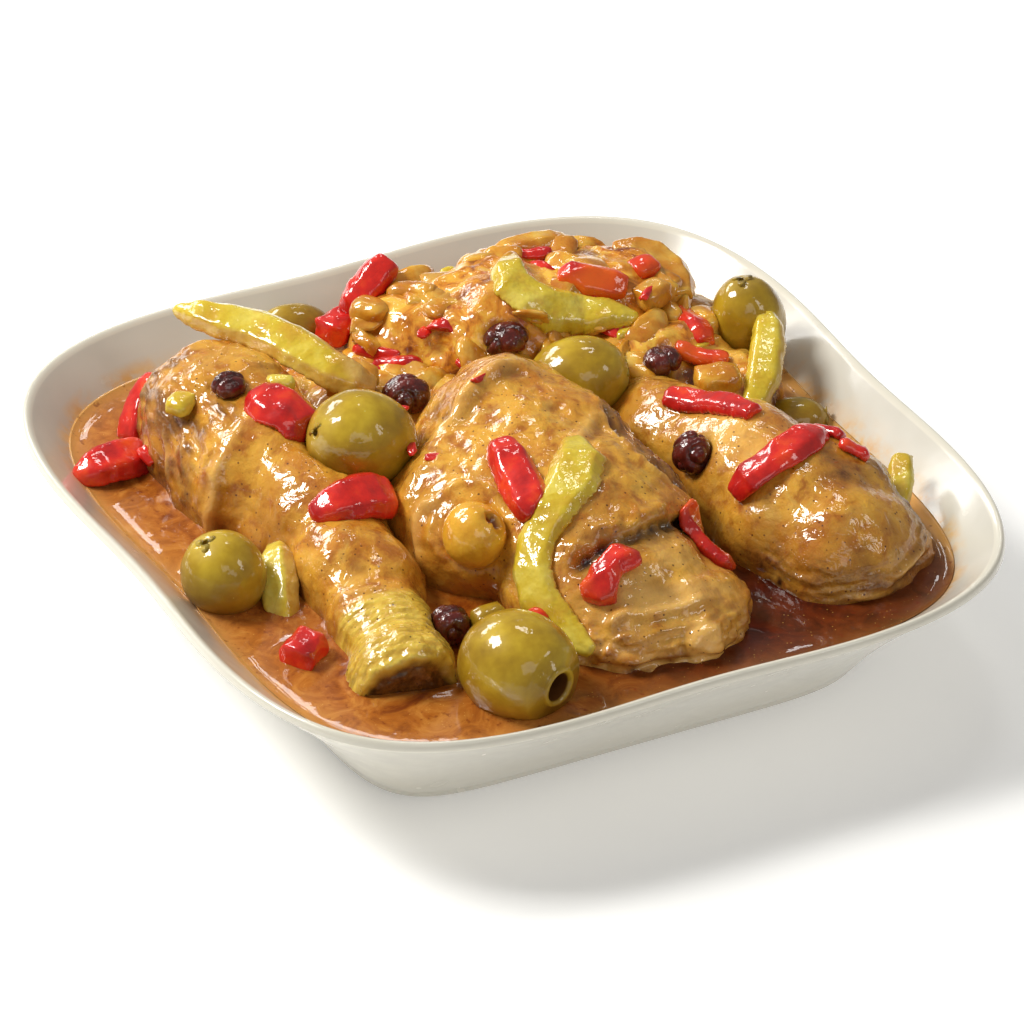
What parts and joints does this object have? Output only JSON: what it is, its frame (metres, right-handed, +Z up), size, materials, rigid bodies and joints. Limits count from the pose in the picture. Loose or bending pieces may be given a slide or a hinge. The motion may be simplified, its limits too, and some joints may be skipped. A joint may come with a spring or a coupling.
{
  "type": "chicken tagine stew in a square dish",
  "caption": "Chicken tagine stew: braised chicken legs and thighs in sauce with olives, preserved lemon peel, red pepper, onion and raisins, in a flared square white dish.",
  "frame": {"origin": "centre of the dish's footprint, on the surface it stands on", "axes": "+Z up; +X and +Y along two sides of the square dish, with the open pool of sauce along the -X and -Y sides"},
  "size_m": [0.1816, 0.1816, 0.0566],
  "materials": {
    "porcelain": "glossy white glaze",
    "sauce": "wet, translucent amber sauce",
    "chicken": "wet braised skin",
    "olive": "wet olive skin",
    "raisin": "wet, wrinkled skin",
    "lemon_peel": "wet peel",
    "red_pepper": "wet skin",
    "onion": "wet, translucent"
  },
  "bodies": {
    "root": {"dish": "porcelain", "drumstick_left": "chicken", "drumstick_right": "chicken", "lemon_back": "lemon_peel", "lemon_centre": "lemon_peel", "lemon_dice": "lemon_peel", "lemon_far": "lemon_peel", "lemon_front": "lemon_peel", "lemon_left": "lemon_peel", "lemon_right": "lemon_peel", "lemon_shred": "lemon_peel", "olive_back_right": "olive", "olive_bit": "olive", "olive_centre_back": "olive", "olive_far_left": "olive", "olive_front": "olive", "olive_left": "olive", "olive_right_small": "olive", "olive_top": "olive", "onion_back_left": "onion", "onion_bed": "onion", "onion_dice_back": "onion", "onion_dice_left": "onion", "onion_dice_low": "onion", "onion_dice_olive": "onion", "onion_dice_right": "onion", "onion_far_back": "onion", "onion_pearl": "onion", "onion_petal": "onion", "pepper_back_left": "red_pepper", "pepper_back_lower": "red_pepper", "pepper_back_right": "red_pepper", "pepper_beside_left": "red_pepper", "pepper_centre": "red_pepper", "pepper_crease": "red_pepper", "pepper_dice_back": "red_pepper", "pepper_dice_front": "red_pepper", "pepper_dice_left": "red_pepper", "pepper_dice_small": "red_pepper", "pepper_edge_far": "red_pepper", "pepper_edge_near": "red_pepper", "pepper_far_back": "red_pepper", "pepper_far_left": "red_pepper", "pepper_left": "red_pepper", "pepper_on_left": "red_pepper", "pepper_on_right": "red_pepper", "pepper_right_upper": "red_pepper", "pepper_sliver_left": "red_pepper", "pepper_sliver_middle": "red_pepper", "pepper_thigh_right": "red_pepper", "pepper_under_lemon": "red_pepper", "raisin_back": "raisin", "raisin_back_right": "raisin", "raisin_front": "raisin", "raisin_left": "raisin", "raisin_middle": "raisin", "raisin_right": "raisin", "sauce": "sauce", "thigh_back": "chicken", "thigh_centre": "chicken"}
  },
  "joints": []
}
